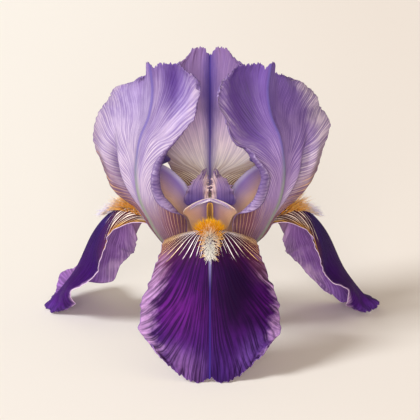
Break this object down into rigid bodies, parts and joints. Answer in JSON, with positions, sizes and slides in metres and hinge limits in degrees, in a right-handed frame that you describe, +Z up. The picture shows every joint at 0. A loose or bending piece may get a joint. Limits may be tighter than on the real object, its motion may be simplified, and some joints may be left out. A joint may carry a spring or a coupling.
{
  "type": "bearded iris flower",
  "caption": "Bearded iris bloom with upright standards, arching ruffled falls with fuzzy beards, crested style arms and stamens, standing on its fall tips.",
  "frame": {"origin": "middle of the bounding box at the surface that the flower stands on", "axes": "+Z up through the flower, -Y towards the tip of the front fall, +X to the right as seen from the front, along the widest spread of the two side falls"},
  "size_m": [0.1282, 0.1094, 0.1018],
  "materials": {
    "fall_petal": "velvety dark violet petal with lilac margins, matt and slightly translucent",
    "standard_petal": "silky pale lilac petal with violet veins, translucent",
    "beard_hair": "soft orange hairs with white tips",
    "stamen": "matt amber anther on a pale filament",
    "style_petal": "satin lilac crest with a peach body",
    "tube_flesh": "fleshy green tube flushed violet"
  },
  "bodies": {
    "root": {"fall_front": "fall_petal", "fall_left": "fall_petal", "fall_right": "fall_petal", "standard_left": "standard_petal", "standard_right": "standard_petal", "standard_back": "standard_petal", "beard_front": "beard_hair", "beard_left": "beard_hair", "beard_right": "beard_hair", "stamen_front": "stamen", "stamen_left": "stamen", "stamen_right": "stamen", "style": "style_petal", "perianth_tube": "tube_flesh"}
  },
  "joints": []
}
